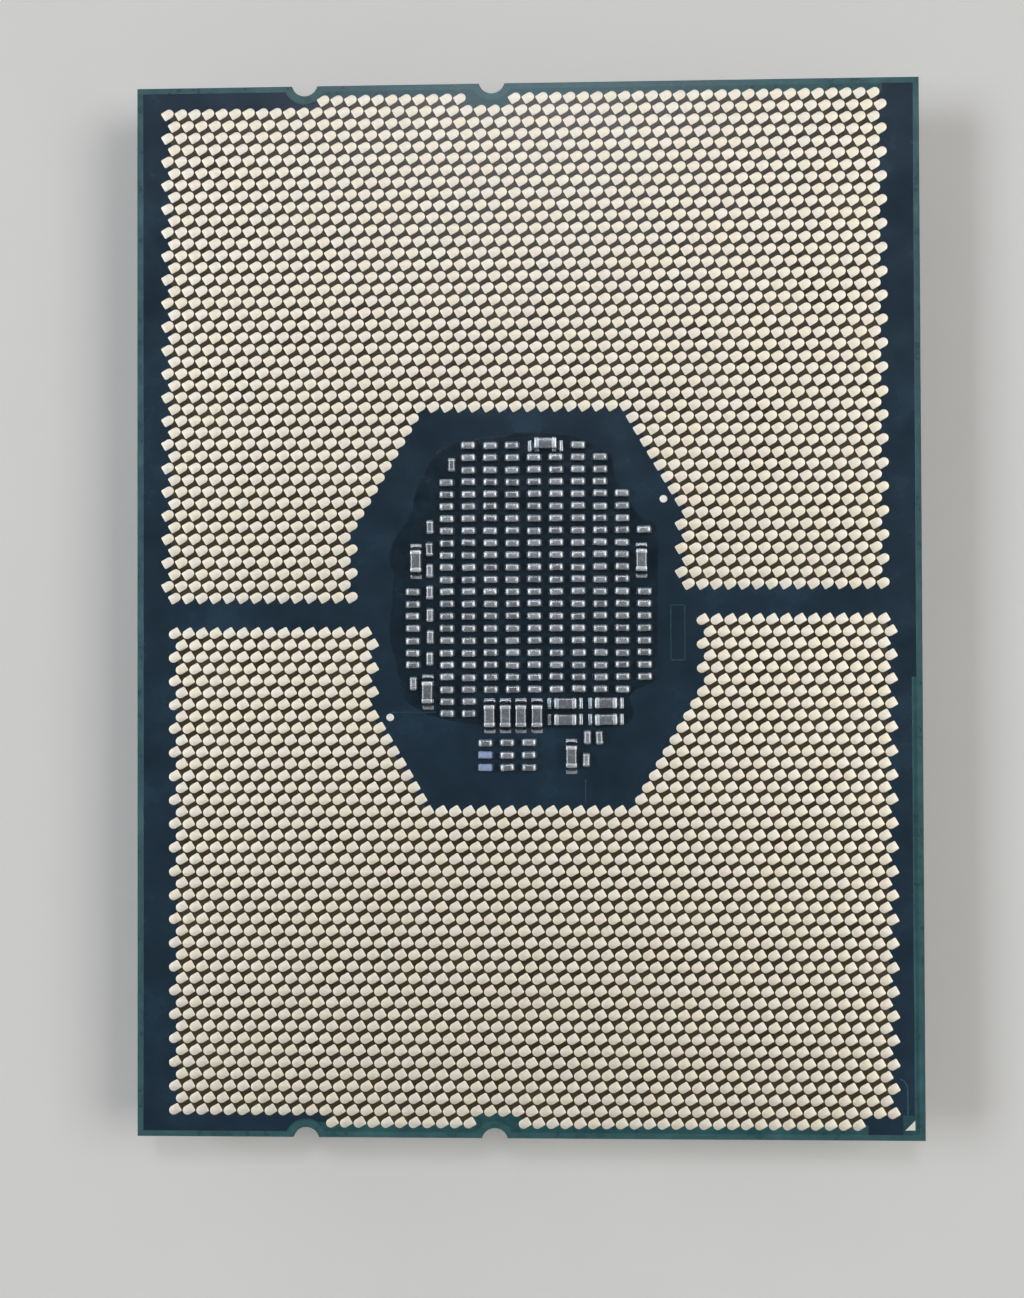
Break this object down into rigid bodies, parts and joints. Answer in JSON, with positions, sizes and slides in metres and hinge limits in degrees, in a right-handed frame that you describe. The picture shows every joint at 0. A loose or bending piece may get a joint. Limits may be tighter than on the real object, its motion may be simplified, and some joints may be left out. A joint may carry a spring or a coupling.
{
  "type": "server processor",
  "caption": "Flat rectangular processor package, contact side up: a field of gold contacts round a central group of chip capacitors, keying notches, and a stepped metal lid beneath.",
  "frame": {"origin": "middle of the package outline, on the plane of the lid's raised face that it rests on", "axes": "+Z out of the contact side, +Y along the long side, +X across the short side with the corner mark at +X, -Y"},
  "size_m": [0.0564, 0.076, 0.0064],
  "materials": {
    "board": "dark teal solder mask over laminate",
    "contact_gold": "pale satin gold plating",
    "gold": "gold plating",
    "solder": "reflowed solder",
    "tin": "bright tin plating",
    "ceramic": "matte grey-brown ceramic",
    "blue_ceramic": "matte blue-grey ceramic",
    "lid": "satin nickel plating",
    "sealant": "cured dark silicone",
    "thermal": "soft solder",
    "silicon": "ground silicon",
    "underfill": "cured epoxy"
  },
  "bodies": {
    "root": {"board": "board", "back_contacts": "contact_gold", "back_left_contacts": "contact_gold", "back_right_contacts": "contact_gold", "front_contacts": "contact_gold", "front_left_contacts": "contact_gold", "front_right_contacts": "contact_gold", "corner_marks": "gold", "alignment_dots": "gold", "small_capacitor_pads": "solder", "small_capacitor_bodies": "ceramic", "small_capacitor_ends": "tin", "blue_capacitor_bodies": "blue_ceramic", "large_capacitor_pads": "solder", "large_capacitor_bodies": "ceramic", "large_capacitor_ends": "tin", "lid": "lid", "sealant": "sealant", "thermal_layer": "thermal", "die": "silicon", "underfill": "underfill"}
  },
  "joints": []
}
